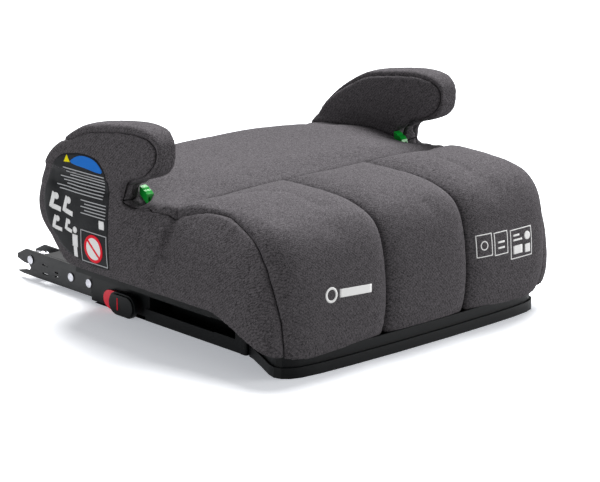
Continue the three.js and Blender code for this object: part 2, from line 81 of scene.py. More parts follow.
# Where a side seam runs, from the low front corner up and back to the armrest, in pairs: y + z, and there
# the distance outside the body's side face less the distance outside its side view.
SIDE_SEAM = [
    (-173, -22.6), (-154, -19), (-132, -14.7), (-108, -5.5), (-83, 4.2), (-56, 10.6), (-36, 9.7),
    (-12, 7.5), (6, 5.3), (32, 0.5), (54, 1.5), (61, 2.4), (74, 4.7), (85, 8.6), (97, 8.3), (115, 3.5),
    (130, -2.8),
]
COVER = 9.0  # thickness of the knit with its bonded foam
GRID = 2.5  # spacing of the distance fields
EVENINGS = 3  # how many times a surface's points are evened out
GAP = 0.2  # between panels that meet in a seam
CLOTH_VOXEL = 5.0
CLOTH_EASE = 0.004  # how much larger the cloth is cut than its padding
CLOTH_CAP = 4.0  # the furthest that the cloth swells
CLOTH_STEPS = 20
CLOTH_NEAR = 16  # how many of the cloth's points each point of a cover follows
CLOTH_SPREAD = 1.6  # over how many of the cloth's cells their pull fades
SEWN = 14.0  # within this distance of a seam, the cloth is held down more and more


# ---- distance fields ----
def ramp(value, low, high):
    """0 below low, 1 above high, and a smooth rise between them."""
    t = np.clip((value - low) / (high - low), 0.0, 1.0)
    return t * t * (3.0 - 2.0 * t)


def round_max(a, b, radius):
    """The part common to two fields, with its edge rounded to a radius."""
    outside = np.hypot(np.maximum(a + radius, 0.0), np.maximum(b + radius, 0.0))
    return outside + np.minimum(np.maximum(a, b) + radius, 0.0) - radius


def segment_distance(u, v, start, end):
    """The distance from points to a straight segment."""
    (ua, va), (ub, vb) = start, end
    along = (u - ua) * (ub - ua) + (v - va) * (vb - va)
    t = np.clip(along / ((ub - ua) ** 2 + (vb - va) ** 2), 0, 1)
    return np.hypot(u - ua - t * (ub - ua), v - va - t * (vb - va))


def spline(points, steps=8):
    """A smooth closed curve through a few points."""
    here = np.array(points, float)
    ahead = np.roll(here, -1, 0)
    span = np.linalg.norm(ahead - here, axis=1)[:, None]
    before = np.roll(span, 1, 0)
    slope = (here - np.roll(here, 1, 0)) / before**2 + (ahead - here) / span**2
    slope /= 1 / before + 1 / span
    rows = []
    for t in np.arange(steps) / steps:
        rows.append(
            (2 * t**3 - 3 * t**2 + 1) * here
            + (t**3 - 2 * t**2 + t) * span * slope
            + (3 * t**2 - 2 * t**3) * ahead
            + (t**3 - t**2) * span * np.roll(slope, -1, 0)
        )
    return np.stack(rows, 1).reshape(-1, 2)


LAST_CELL = 1.001  # a table is read up to just inside its last entry


class Profile:
    """The signed distance to a closed outline, kept as a table and read between its entries."""

    STEP = 1.5
    MARGIN = 60.0

    def __init__(self, points):
        outline = spline(points)
        self.low = outline.min(0) - self.MARGIN
        size = np.ceil((outline.max(0) + self.MARGIN - self.low) / self.STEP).astype(int) + 1
        u = self.low[0] + self.STEP * np.arange(size[0])[:, None]
        v = self.low[1] + self.STEP * np.arange(size[1])[None, :]
        nearest = np.full(size, np.inf)
        inside = np.zeros(size, bool)
        for (ua, va), (ub, vb) in zip(outline, np.roll(outline, -1, 0)):
            nearest = np.minimum(nearest, segment_distance(u, v, (ua, va), (ub, vb)))
            if va != vb:
                crosses = (va > v) != (vb > v)
                inside ^= crosses & (u < ua + (v - va) * (ub - ua) / (vb - va))
        self.table = np.where(inside, -nearest, nearest)

    def __call__(self, u, v):
        i = np.clip((u - self.low[0]) / self.STEP, 0, self.table.shape[0] - LAST_CELL)
        j = np.clip((v - self.low[1]) / self.STEP, 0, self.table.shape[1] - LAST_CELL)
        i0, j0 = i.astype(int), j.astype(int)
        fi, fj = i - i0, j - j0
        low = self.table[i0, j0] * (1 - fj) + self.table[i0, j0 + 1] * fj
        high = self.table[i0 + 1, j0] * (1 - fj) + self.table[i0 + 1, j0 + 1] * fj
        return low * (1 - fi) + high * fi


# ---- the upholstered body ----
# Seen from the side, y then z: the blunt front, the nearly flat deck and the round back.
BODY_SIDE = Profile([
    (-192, -10), (-203, 14), (-209, 36), (-212, 75), (-209, 106), (-199, 131), (-182, 147), (-156, 157),
    (-125, 161), (-90, 161.5), (-30, 159.5), (40, 157.5), (110, 156), (150, 153), (173, 146), (186, 131),
    (184, 112), (177, 91), (166, 72), (150, 55), (110, 20), (50, -10), (-100, -10),
])

# Seen from the side: the armrest's outline along the middle of its edge strip. Its foot is in the body.
ARMREST_SIDE = Profile([
    (24, 128), (16, 146), (11, 158), (2, 168), (-14, 173), (-31, 178.5), (-43, 188), (-48, 203),
    (-45, 217), (-33, 226), (-8, 229), (20, 227), (50, 222.5), (78, 216.5), (102, 205), (124, 191),
    (142, 177), (157, 161), (168, 145), (174, 126), (165, 106), (90, 104),
])

# The body's shape between its outlines.
WIDEST = 55.0  # height at which the sides are widest
LEAN, LEAN_POWER = 0.0066, 1.8  # how fast the sides lean in above and below it
CORNER_LEAN = 0.7  # the upright corners lean in by this share of it
TUCK, TUCK_TOP = 0.008, 42.0  # how fast the front draws in to its hem, and below what height
UNDER_BACK, BACK_TOP = 0.0105, 120.0  # how fast the back draws in underneath, and below what height
FRONT_CORNER, REAR_CORNER = 66.0, 62.0  # radius of the upright corners
PLAN_EASE = 1.0  # the plan is this much wider than the sides, which stay flat between the corners
SIDE_DIP, SIDE_DIP_AT, SIDE_DIP_LENGTH = 10.0, -4.0, 46.0  # the deck dips beside each belt guide
REAR_DIP = 7.0  # and at its rear corners
TOP_ROUND = (9.0, 12.0)  # rounding of the deck's side edges, and how much more there is at the front
CORNER_ROUND = (10.0, 8.0)  # the same, where the corners meet the deck
ARMREST_ROUND = 8.0
ARMREST_CORNER = 10.0
JOIN_ROUND = (3.0, 7.0, 6.0)  # rounding of the armrest's foot; how much more behind it; more still outside

# The hem starts to fall this far in front of the middle, over this length, ever more steeply.
HEM_DROP = (115.0, 85.0)
HEM_POWER = 1.7

# A round hollow lets the belt in beside its guide. From its inner end to the body's outer face: how far
# out it is, the y and z of its middle, and its radius.
HOLLOW_IN = (182.0, 17.0, 149.5, 10.5)
HOLLOW_OUT = (220.0, 1.0, 155.5, 14.5)
HOLLOW_END = 3.0  # rounding at its inner end
HOLLOW_RIM = 4.0  # and at its mouth

# Where the seams run, and how deep and how wide the valley along each kind is.
SEAM_SHIFT = 8.0  # the two front seams sit this far towards the left
SIDE_TOP = 168.0  # a side panel is cut by its seam up to this height, and by the armrest's above
OUTER_RIM = (2.5, 6.0, 9.0)  # how far an armrest's strip laps onto its outer face; less below and behind
INNER_RIM = (1.5, 3.0)  # how far it laps onto the inner face; less below the nose
FRONT_VALLEY = (9.5, 11.5)
SIDE_VALLEY = (6.0, 14.0)
RIM_VALLEY = (1.8, 5.0)
FOOT_VALLEY = (0.8, 5.0)
NO_SEAM = 1e3  # added to a distance where there is no seam
PANEL_EDGE = 2.4  # rounding of each panel's edges


def lean(z):
    """How far a side leans in from its widest line, by height."""
    return LEAN * np.abs(z - WIDEST) ** LEAN_POWER


def tuck(y, z):
    """How much more the cover draws in towards its hem, at the front."""
    return TUCK * np.maximum(TUCK_TOP - z, 0.0) ** 2 * ramp(-y, 60.0, 170.0)


def hem_height(y):
    """The cover's lower edge: level along the sides, and dropping round the front corners."""
    forward = np.clip((-y - HEM_DROP[0]) / HEM_DROP[1], 0.0, 1.0)
    return HEM_SIDE - (HEM_SIDE - HEM_FRONT) * forward**HEM_POWER


def plan_field(x, y, z, inset):
    """The body seen from above: a rectangle with round corners, whose rear draws in under the back."""
    middle, half_depth = (FRONT + REAR) / 2, (REAR - FRONT) / 2
    under_back = UNDER_BACK * np.maximum(BACK_TOP - z, 0.0) ** 2 * (y > middle)
    corner = np.where(y < middle, FRONT_CORNER, REAR_CORNER)
    beyond_x = np.abs(x) - (HALF_WIDTH + PLAN_EASE - corner)
    beyond_y = np.abs(y - middle) - (half_depth - under_back - corner)
    outside = np.hypot(np.maximum(beyond_x, 0), np.maximum(beyond_y, 0))
    return outside + np.minimum(np.maximum(beyond_x, beyond_y), 0) - corner + inset


def body_faces(x, y, z):
    """How far outside its side view, its side face and its plan a point is."""
    across = np.abs(x)
    side_dip = SIDE_DIP * ramp(across, 95, 190) * np.exp(-(((y - SIDE_DIP_AT) / SIDE_DIP_LENGTH) ** 2))
    rear_dip = REAR_DIP * ramp(across, 60, 190) * ramp(y, 60, 150)
    raised = z + (side_dip + rear_dip) * ramp(z, 70, 150)
    under_armrest = ramp(y, -70, 25)
    inset = lean(z) * np.where(z < WIDEST, 1.0, 1.0 - under_armrest)
    side = across - (HALF_WIDTH - inset)
    return BODY_SIDE(y, raised), side, plan_field(x, y, z, inset * CORNER_LEAN + tuck(y, z))


def body_field(x, y, z):
    """The upholstered block without its armrests."""
    profile, side, plan = body_faces(x, y, z)
    forward = ramp(-y, 90, 170)
    upright = round_max(profile, side, TOP_ROUND[0] + TOP_ROUND[1] * forward)
    return round_max(upright, plan, CORNER_ROUND[0] + CORNER_ROUND[1] * forward)


def armrest_faces(x, y, z):
    """How far outside its edge strip, its outer face and its inner face a point is."""
    across = np.abs(x)
    return ARMREST_SIDE(y, z), across - HALF_WIDTH, ARMREST_INNER - across


def armrest_field(x, y, z):
    """An armrest with rounded edges, kept within the body's plan."""
    edge, outer, inner = armrest_faces(x, y, z)
    rounded = round_max(edge, np.maximum(outer, inner), ARMREST_ROUND)
    return round_max(rounded, plan_field(x, y, z, 0.0), ARMREST_CORNER)


# Soft folds in a side panel, y then z along each, with its depth and width.
FOLDS = [
    ([(-51, 141), (-43, 119), (-38, 97), (-32, 72)], 6.0, 4.5),
    ([(-24, 145), (-5, 132), (12, 121)], 4.4, 4.0),
    ([(30, 142), (18, 144), (2, 147)], 2.6, 3.5),
    ([(-168, 118), (-160, 92), (-158, 70)], 1.6, 8.0),
    ([(96, 150), (118, 128), (132, 100)], 1.4, 9.0),
]
SWELL, SWELL_WIDTH = 0.5, 2.5  # the cloth swells beside a fold by this share of its depth, this much wider


def fold_depth(y, z):
    """How deep the side panels are drawn in by their folds."""
    total = np.zeros_like(y)
    for points, depth, width in FOLDS:
        nearest = np.full_like(y, np.inf)
        for start, end in zip(points, points[1:]):
            nearest = np.minimum(nearest, segment_distance(y, z, start, end))
        crease = np.exp(-((nearest / width) ** 2))
        beside = np.exp(-((nearest / width / SWELL_WIDTH) ** 2))
        total += depth * crease - SWELL * depth * beside
    return total


def valley(distance, shape):
    """How deep a seam draws the surface in at a distance from it."""
    depth, width = shape
    return depth * np.exp(-distance / width)


class Block:
    """The fields of the right half of the upholstery, all on one grid."""

    def __init__(self):
        # The grid reaches a few cells past the body's faces, and past its middle.
        half = GRID * math.ceil(HALF_WIDTH / GRID + 4)
        self.low = np.array([-half, FRONT - 4 * GRID, 0.0])
        high = np.array([4 * GRID, REAR + 5 * GRID, ARMREST_TOP + 5 * GRID])
        axes = [np.arange(self.low[i], high[i], GRID) for i in range(3)]
        self.x, self.y, self.z = np.meshgrid(*axes, indexing="ij")
        self.half_columns = int(round(half / GRID)) + 1
        self.across = -self.x
        self.body = body_field(self.x, self.y, self.z)
        self.armrest = armrest_field(self.x, self.y, self.z)
        self.part_armrest()
        self.part_side()
        self.crowned = round_max(self.joined() + self.seam_depth(), -self.hollow(), HOLLOW_RIM)

    def part_armrest(self):
        """Positive where a point is nearer to the armrest's outer, or inner, face than to its edge strip."""
        edge, outer, inner = armrest_faces(self.x, self.y, self.z)
        under_nose = ramp(-self.z, -205, -172) * ramp(self.y, -48, -5)
        rear = ramp(self.y, 95, 135)
        lap, below, behind = OUTER_RIM
        self.on_outer = (outer - edge) / math.sqrt(2) - lap + below * under_nose + behind * rear
        lap, below = INNER_RIM
        self.on_inner = (inner - edge) / math.sqrt(2) - lap + below * under_nose
        self.outward = self.across - (HALF_WIDTH + ARMREST_INNER) / 2

    def part_side(self):
        """The distance past the side seam, and the region of the side panel."""
        profile, side, _ = body_faces(self.x, self.y, self.z)
        seam = np.interp(self.y + self.z, *np.transpose(SIDE_SEAM))
        self.off_seam = (side - profile - seam) / math.sqrt(2)
        on_armrest = np.maximum(-self.on_outer, -self.outward)
        self.side = np.minimum(np.maximum(-self.off_seam, self.z - SIDE_TOP), on_armrest)

    def joined(self):
        """Body and armrest as one: a crisp join, but smooth where the armrest's rear meets the back."""
        crisp, smooth, outermost = JOIN_ROUND
        join = crisp + ramp(self.y, 105, 135) * (smooth + outermost * ramp(self.across, 200, 214))
        return -round_max(-self.body, -self.armrest, join)

    def hollow(self):
        """The belt's way in, beside its guide."""
        outward = (self.across - HOLLOW_IN[0]) / (HOLLOW_OUT[0] - HOLLOW_IN[0])
        middle_y, middle_z, radius = (a + (b - a) * outward for a, b in zip(HOLLOW_IN[1:], HOLLOW_OUT[1:]))
        cone = np.hypot(self.y - middle_y, self.z - middle_z) - radius
        return round_max(cone, HOLLOW_IN[0] - self.across, HOLLOW_END)

    def seam_depth(self):
        """How deep the surface is drawn in near its seams and folds."""
        front = np.hypot(self.across - SEAM_FRONT, np.maximum(self.y - SEAM_ACROSS, 0))
        across = np.abs(self.y - SEAM_ACROSS) + NO_SEAM * (self.z < 100)
        broad = np.minimum(front, across)
        side = np.abs(self.off_seam) + NO_SEAM * ramp(self.z, 164, 172)
        rims = np.where(self.outward > 0, np.abs(self.on_outer), np.abs(self.on_inner))
        rims += NO_SEAM * ramp(-self.z, -155, -140)
        foot = np.hypot(self.armrest, self.body) + 2.0 * np.maximum(self.across - 196, 0)
        depth = np.maximum(valley(broad, FRONT_VALLEY), valley(side, SIDE_VALLEY))
        depth += valley(rims, RIM_VALLEY) + valley(foot, FOOT_VALLEY)
        on_side = ramp(self.across, 185, 205) * ramp(-self.z, -170, -155)
        return depth + on_side * fold_depth(self.y, self.z)

    def region(self, *limits):
        """The part of space inside some limits, each a field that is negative inside."""
        region = np.maximum(limits[0], hem_height(self.y) - self.z)
        for limit in limits[1:]:
            region = np.maximum(region, limit)
        return region

    def layer(self, region):
        """The cover's field within a region."""
        outer = round_max(self.crowned, region + GAP / 2, PANEL_EDGE)
        return np.maximum(outer, -(self.crowned + COVER))

    def whole_width(self, field):
        """A field of the right half, joined to its mirror image."""
        right = field[:self.half_columns]
        return np.concatenate([right, right[-2::-1]])


class Sampler:
    """Reads a field between its grid points."""

    def __init__(self, field, low):
        self.field = field
        self.low = low

    def __call__(self, points):
        spot = (points - self.low) / GRID
        spot = np.clip(spot, 0, np.array(self.field.shape) - LAST_CELL)
        base = spot.astype(int)
        part = spot - base
        total = np.zeros(len(points))
        for corner in np.ndindex(2, 2, 2):
            weight = np.prod(np.where(corner, part, 1 - part), axis=1)
            total += weight * self.field[tuple((base + corner).T)]
        return total

    def slope(self, points):
        """The field's gradient."""
        shift = np.eye(3) * GRID * 0.5
        return np.stack([(self(points + s) - self(points - s)) / GRID for s in shift], 1)


def surface(field, low):
    """Points and quads of the surface where a field is zero, evened out and brought back onto it."""
    band = 3 * GRID
    grid = openvdb.FloatGrid(band)
    grid.copyFromArray(np.clip(field, -band, band).astype(np.float32))
    points, quads = grid.convertToQuads()
    points = low + GRID * np.asarray(points, float)
    quads = np.asarray(quads, np.int64)
    sampler = Sampler(field, low)
    edges = np.concatenate([quads[:, [i, (i + 1) % 4]] for i in range(4)])
    edges = np.concatenate([edges, edges[:, ::-1]])
    degree = np.bincount(edges[:, 0], minlength=len(points))[:, None]
    for _ in range(EVENINGS):
        total = np.stack([
            np.bincount(edges[:, 0], points[edges[:, 1], axis], minlength=len(points)) for axis in range(3)
        ], 1)
        points = 0.5 * points + 0.5 * total / degree
        slope = sampler.slope(points)
        step = (sampler(points) / np.maximum((slope**2).sum(1), 0.1))[:, None] * slope
        points -= np.clip(step, -GRID, GRID)
    a, b, c, d = (points[quads[:, i]] for i in range(4))
    volume = (a * np.cross(b, c)).sum() + (a * np.cross(c, d)).sum()
    return points, quads if volume > 0 else quads[:, ::-1]


# ---- pieces ----
BODY_OF = {node: body for body, nodes in frame["record"]["behaviour"]["bodies"].items() for node in nodes}
SLOT_OF = {part["node"]: part["material_slot"] for part in frame["record"]["subparts"]}
MATERIALS = {}


def added(name, data):
    """A new object in the scene."""
    thing = bpy.data.objects.new(name, data)
    bpy.context.scene.collection.objects.link(thing)
    return thing


def mesh_piece(name, points, faces):
    """A smooth piece from points in millimetres and faces."""
    mesh = bpy.data.meshes.new(name)
    mesh.from_pydata((np.asarray(points) * MM).tolist(), [], [list(face) for face in faces])
    mesh.update()
    mesh.shade_smooth()
    return added(name, mesh)


def coat(piece, node):
    """Gives a piece the material of a CAD node."""
    piece.data.materials.clear()
    piece.data.materials.append(MATERIALS[SLOT_OF[node]])


def stand_for(piece, *nodes):
    """The piece rides, and takes its finish, as the first of the CAD nodes that it stands for."""
    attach(piece, BODY_OF[nodes[0]])
    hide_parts(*nodes)
    coat(piece, nodes[0])
    return piece


def mirrored(points, quads):
    """The same surface on the other side."""
    return points * (-1, 1, 1), quads[:, ::-1]


def coarse_copy(points, quads):
    """An object with the same shape, remeshed evenly enough to simulate."""
    fine = mesh_piece("fine", points, quads)
    remesh = fine.modifiers.new("Remesh", "REMESH")
    remesh.mode = "VOXEL"
    remesh.voxel_size = CLOTH_VOXEL * MM
    evaluated = fine.evaluated_get(bpy.context.evaluated_depsgraph_get())
    mesh = bpy.data.meshes.new_from_object(evaluated)
    bpy.data.objects.remove(fine)
    return added("cloth", mesh)


def vertices(mesh):
    """A mesh's points, in millimetres."""
    spots = np.empty(len(mesh.vertices) * 3)
    mesh.vertices.foreach_get("co", spots)
    return spots.reshape(-1, 3) / MM


def puffed(points, quads, skin, region):
    """The piece's points after its outer side swells as stuffed cloth, sewn down at its seams."""
    cloth = coarse_copy(points, quads)
    start = vertices(cloth.data)
    # All but the outer side is held, and so is what lies near a seam.
    held = cloth.vertex_groups.new(name="held")
    sewn = (skin(start) < -CLOTH_VOXEL * 0.7) | (region(start) > -CLOTH_VOXEL)
    held.add(np.where(sewn)[0].tolist(), 1.0, "REPLACE")
    settings = cloth.modifiers.new("Cloth", "CLOTH").settings
    settings.quality = 5
    settings.mass = 0.3
    settings.bending_stiffness = 0.6
    settings.shrink_min = -CLOTH_EASE
    settings.use_pressure = True
    settings.uniform_pressure_force = 4.0
    settings.effector_weights.gravity = 0.0
    settings.vertex_group_mass = "held"
    for step in range(1, CLOTH_STEPS + 1):
        bpy.context.scene.frame_set(step)
    end = vertices(cloth.evaluated_get(bpy.context.evaluated_depsgraph_get()).data)
    bpy.context.scene.frame_set(1)
    bpy.data.objects.remove(cloth)
    move = end - start
    length = np.linalg.norm(move, axis=1)[:, None]
    move *= CLOTH_CAP * np.tanh(length / CLOTH_CAP) / np.maximum(length, 1e-6)
    tree = KDTree(len(start))
    for i, spot in enumerate(start):
        tree.insert(spot, i)
    tree.balance()
    moved = np.array(points, float)
    freedom = ramp(-region(moved), 0.0, SEWN)
    for i, spot in enumerate(points):
        near = tree.find_n(spot, CLOTH_NEAR)
        weights = [math.exp(-((distance / CLOTH_VOXEL / CLOTH_SPREAD) ** 2)) for _, _, distance in near]
        weights = np.array(weights) + 1e-9
        pull = weights @ move[[index for _, index, _ in near]]
        moved[i] += freedom[i] * pull / weights.sum()
    return moved


def shifted(points):
    """Moves the middle of the front sideways, for its two seams."""
    near_middle = ramp(-np.abs(points[:, 0]), -150, -70)
    near_front = ramp(-points[:, 1], -20, 40)
    return points + (SEAM_SHIFT * near_middle * near_front)[:, None] * (1, 0, 0)


BACK_START = 140.0  # the rear panel covers what is behind this and below its seam
DECK_BOTTOM = 100.0  # the seat panel ends above this


def cover_limits(block):
    """The fields that bound each kind of panel. A kind that isn't a node's own name is made for each side."""
    top = -block.side
    off_armrest = (block.body - block.armrest) / math.sqrt(2)
    off_body = -off_armrest
    at_back = np.maximum(block.z - SEAM_REAR, BACK_START - block.y)
    strip = np.where(block.outward > 0, block.on_outer, block.on_inner)
    return {
        "seat_panel": (top, SEAM_ACROSS - block.y, off_armrest, -at_back, DECK_BOTTOM - block.z),
        "rear_panel": (top, at_back, off_armrest),
        "front_panel_centre": (top, block.y - SEAM_ACROSS, block.across - SEAM_FRONT),
        "front_panel": (top, block.y - SEAM_ACROSS, SEAM_FRONT - block.across),
        "side_panel": (block.side,),
        "armrest_cover": (strip, off_body, top),
        "armrest_inner_panel": (-block.on_inner, off_body, block.outward),
    }


def make_covers(block):
    """The padded knit panels."""
    covers = []
    for name, bounds in cover_limits(block).items():
        region = block.region(*bounds)
        fields = [block.layer(region), block.crowned, region]
        whole = name in BODY_OF
        if whole:
            fields = [block.whole_width(field) for field in fields]
        points, quads = surface(fields[0], block.low)
        points = puffed(points, quads, Sampler(fields[1], block.low), Sampler(fields[2], block.low))
        if whole:
            nodes = [name, "seat_foam"] if name == "seat_panel" else [name]
            covers.append(stand_for(mesh_piece("knit_" + name, shifted(points), quads), *nodes))
            continue
        for side, (spots, faces) in {"right": (points, quads), "left": mirrored(points, quads)}.items():
            piece = mesh_piece(f"knit_{name}_{side}", shifted(spots), faces)
            covers.append(stand_for(piece, f"{name}_{side}"))
    return covers


SHELL_GAP = 0.6  # between the covers and the shell
SHELL_INSIDE = 4.0  # the shell's inner face lies this far under the covers
SHELL_LIFT = 1.5  # its lower edge lies this far above the hem
FLOOR_LIFT = 4.5  # the middle of its floor lies this far above the hem
HALF_PLATE = 2.5  # half the thickness of its floor and walls
WALL_ACROSS = 150.0  # it stands on the tray on two walls this far from the middle, at the front
WALL_FOOT = 20.0  # height of the walls' feet
WALL_LAP = 3.0  # the walls start this far behind where the hem starts to fall


def make_shell(block):
    """The moulded shell inside the covers, with its floor and two walls."""
    inside_covers = block.crowned + COVER + SHELL_GAP
    above_hem = block.z - hem_height(block.y)
    skin = np.maximum(inside_covers, -(block.crowned + COVER + SHELL_INSIDE))
    skin = np.maximum(skin, SHELL_LIFT - above_hem)
    floor = np.maximum(inside_covers, np.abs(above_hem - FLOOR_LIFT) - HALF_PLATE)
    wall = np.maximum(np.abs(block.across - WALL_ACROSS) - HALF_PLATE, block.y + HEM_DROP[0] - WALL_LAP)
    wall = np.maximum(np.maximum(wall, WALL_FOOT - block.z), above_hem - FLOOR_LIFT)
    shell = np.minimum(np.minimum(skin, floor), np.maximum(wall, inside_covers))
    points, quads = surface(block.whole_width(shell), block.low)
    stand_for(mesh_piece("moulded_shell", points, quads), "seat_shell")


# ---- materials ----
def srgb(*values):
    """A colour given as display values from 0 to 255, made linear for the shader."""
    linear = [v / 255 / 12.92 if v < 10 else ((v / 255 + 0.055) / 1.055) ** 2.4 for v in values]
    return (*linear, 1.0)


class Nodes:
    """A new material with short ways to add and link its nodes."""

    def __init__(self, name):
        self.material = bpy.data.materials.new(name)
        self.material.use_nodes = True
        self.tree = self.material.node_tree
        self.shader = self.tree.nodes["Principled BSDF"]
        self.place = self.tree.nodes.new("ShaderNodeTexCoord").outputs["Object"]

    def set(self, **sockets):
        """Sets or links the shader's inputs."""
        for name, value in sockets.items():
            self.fill(self.shader.inputs[name.replace("_", " ")], value)

    def link(self, source, target):
        self.tree.links.new(source, target)

    def fill(self, socket, value):
        """Links a socket to another, or sets its value."""
        if isinstance(value, bpy.types.NodeSocket):
            self.link(value, socket)
        else:
            socket.default_value = value

    def add(self, kind, **inputs):
        """A new node with its inputs filled."""
        node = self.tree.nodes.new("ShaderNode" + kind)
        for name, value in inputs.items():
            self.fill(node.inputs[name.replace("_", " ")], value)
        return node

    def total(self, first, second):
        """The sum of two values."""
        node = self.add("Math", Value=first)
        self.link(second, node.inputs[1])
        return node.outputs[0]

    def noise(self, scale, detail=2.0, roughness=0.5, stretch=(1, 1, 1), turn=(0, 0, 0)):
        """Noise from 0 to 1, at a scale per metre, its grain stretched along turned axes."""
        mapping = self.add("Mapping", Vector=self.place, Scale=stretch, Rotation=turn)
        mapping.vector_type = "TEXTURE"
        place = mapping.outputs[0]
        noise = self.add("TexNoise", Vector=place, Scale=scale, Detail=detail, Roughness=roughness)
        return noise.outputs[0]

    def mix(self, factor, low, high):
        """A colour between two others."""
        node = self.tree.nodes.new("ShaderNodeMix")
        node.data_type = "RGBA"
        for socket, value in zip((node.inputs[0], node.inputs[6], node.inputs[7]), (factor, low, high)):
            self.fill(socket, value)
        return node.outputs[2]

    def range(self, value, low, high, to_low=0.0, to_high=1.0):
        """A value moved from one range to another."""
        node = self.add("MapRange", Value=value)
        for i, number in enumerate((low, high, to_low, to_high)):
            node.inputs[1 + i].default_value = number
        return node.outputs[0]

    def bump(self, height, strength, distance):
        """Makes the surface rise and fall with a value, by a distance in metres."""
        node = self.add("Bump", Height=height, Strength=strength, Distance=distance)
        self.link(node.outputs[0], self.shader.inputs["Normal"])


RIBS = (math.radians(52), 0.0, math.radians(45))  # turns the up axis onto the knit's diagonal


def knit():
    """A heathered knit: light and dark flecks on a diagonal, a loopy surface and a soft sheen."""
    n = Nodes("knit_cover")
    flecks = n.noise(900, 2.0, 0.7, (1, 1, 2.6), RIBS)
    yarns = n.noise(1900, 1.0, 0.5, (1, 1, 3), RIBS)
    patches = n.noise(360, 3.0, 0.7, (1, 1, 1.8), RIBS)
    ribs = n.add("TexWave", Vector=n.place, Scale=168.0, Distortion=3.0, Detail=1.0)
    ribs.bands_direction = "DIAGONAL"
    ribbed = n.total(n.range(ribs.outputs[1], 0, 1, -0.05, 0.05), n.total(flecks, yarns))
    shade = n.mix(n.range(ribbed, 0.79, 1.21), srgb(36, 34.5, 36), srgb(116, 112, 116))
    cloudy = n.mix(n.range(patches, 0.38, 0.62), srgb(53, 51, 53), srgb(96, 93, 96))
    n.set(Base_Color=n.mix(0.35, shade, cloudy))
    loops = n.noise(1300, 2.0, 0.5, (1, 1, 2), RIBS)
    n.bump(loops, 0.6, 0.0007)
    n.set(Roughness=0.95, Sheen_Weight=0.05, Sheen_Roughness=0.5, Specular_IOR_Level=0.06)
    n.set(Sheen_Tint=srgb(190, 186, 192))
    return n.material


def moulded(name, dark, light, roughness, depth=0.00012, shine=0.12):
    """Moulded plastic: a fine spark-eroded grain, and faint cloudiness in its gloss."""
    n = Nodes(name)
    cloud = n.noise(45, 3.0)
    n.set(Base_Color=n.mix(n.range(cloud, 0.3, 0.7), dark, light))
    n.set(Roughness=n.range(cloud, 0.2, 0.8, roughness - 0.05, roughness + 0.07))
    n.bump(n.noise(2600, 2.0), 0.35, depth)
    n.set(Specular_IOR_Level=shine)
    return n.material


def coated_steel():
    """Black powder-coated sheet: slight orange peel, with a greyer tone where it is rubbed."""
    n = Nodes("arm_steel")
    rub = n.noise(160, 4.0, 0.6, stretch=(1, 3, 1))
    n.set(Base_Color=n.mix(n.range(rub, 0.45, 0.75), srgb(14, 15, 16), srgb(24, 25, 28)))
    n.set(Roughness=n.range(rub, 0.3, 0.8, 0.38, 0.55))
    n.bump(n.noise(900, 1.0), 0.2, 0.0002)
    n.set(Metallic=0.3, Specular_IOR_Level=0.3)
    return n.material


def zinc(name, bright):
    """Zinc plate: bright and slightly uneven."""
    n = Nodes(name)
    stain = n.noise(300, 3.0)
    n.set(Base_Color=n.mix(n.range(stain, 0.3, 0.7), srgb(140, 141, 146), bright))
    n.set(Roughness=n.range(stain, 0.2, 0.8, 0.25, 0.42))
    n.bump(n.noise(2500, 1.0), 0.15, 0.0001)
    n.set(Metallic=0.9)
    return n.material


def foam():
    """Pale foam with fine open cells."""
    n = Nodes("foam")
    cells = n.noise(1500, 2.0)
    n.set(Base_Color=n.mix(cells, srgb(190, 186, 172), srgb(222, 218, 205)))
    n.bump(cells, 0.6, 0.0006)
    n.set(Roughness=0.95)
    return n.material


def make_materials():
    """One material for each slot."""
    glossy = {"depth": 0.00005, "shine": 0.3}
    green = srgb(8, 142, 44), srgb(14, 160, 54)
    red = srgb(214, 14, 44), srgb(232, 22, 54)
    MATERIALS.update(
        knit_cover=knit(),
        foam=foam(),
        shell_plastic=moulded("shell_plastic", srgb(8, 9, 9), srgb(12, 12.5, 13), 0.65),
        tray_plastic=moulded("tray_plastic", srgb(9, 10, 11), srgb(13, 15, 16), 0.5),
        screw_steel=zinc("screw_steel", srgb(170, 170, 174)),
        guide_green=moulded("guide_green", *green, 0.36, **glossy),
        label_print=moulded("label_print", srgb(17, 18, 20), srgb(22, 23, 25), 0.5, depth=0.00006),
        arm_steel=coated_steel(),
        zinc_steel=zinc("zinc_steel", srgb(182, 182, 188)),
        sleeve_plastic=moulded("sleeve_plastic", srgb(11, 12, 13), srgb(15, 17, 18), 0.4),
        indicator_red=moulded("indicator_red", *red, 0.34, **glossy),
    )


# ---- hard parts ----
# How far the edges of each kind of hard part are rounded, and of all other kinds.
ROUNDING = {
    "arm_plate": 0.7, "arm_sleeve": 1.0, "guide_rail": 0.5, "rail_end_stop": 1.2, "base_tray": 1.2,
    "jaw_rivet": 0.9, "pawl_rivet": 0.9, "sleeve_rivet": 0.9,
}
FINE_ROUNDING = 0.4
ROUNDED_ANGLE = math.radians(28)  # edges sharper than this are rounded

# Boxes on the left side, by their corners: two cuts, and two thin dark sheets along the rail, a low leaf and
# a wall leaf, which are painted shade: they stand in for the shadow under the seat and hide the glowing floor
# behind the rail's openings.
SLOT_CUT = ((154.0, -93.0, 14.2), (162.0, -55.0, 31.0))
SHADE_SHEET_LOW = ((125.3, -100.0, 0.05), (158.0, 140.0, 0.45))
SHADE_SHEET_WALL = ((125.1, -100.0, 0.6), (126.1, 140.0, 36.0))
GUIDE_CUT = ((183.7, 5.0, 143.0), (185.3, 12.5, 147.5))
GUIDE_FACES = (178.0, 187.0)  # how far out a belt guide's two faces are

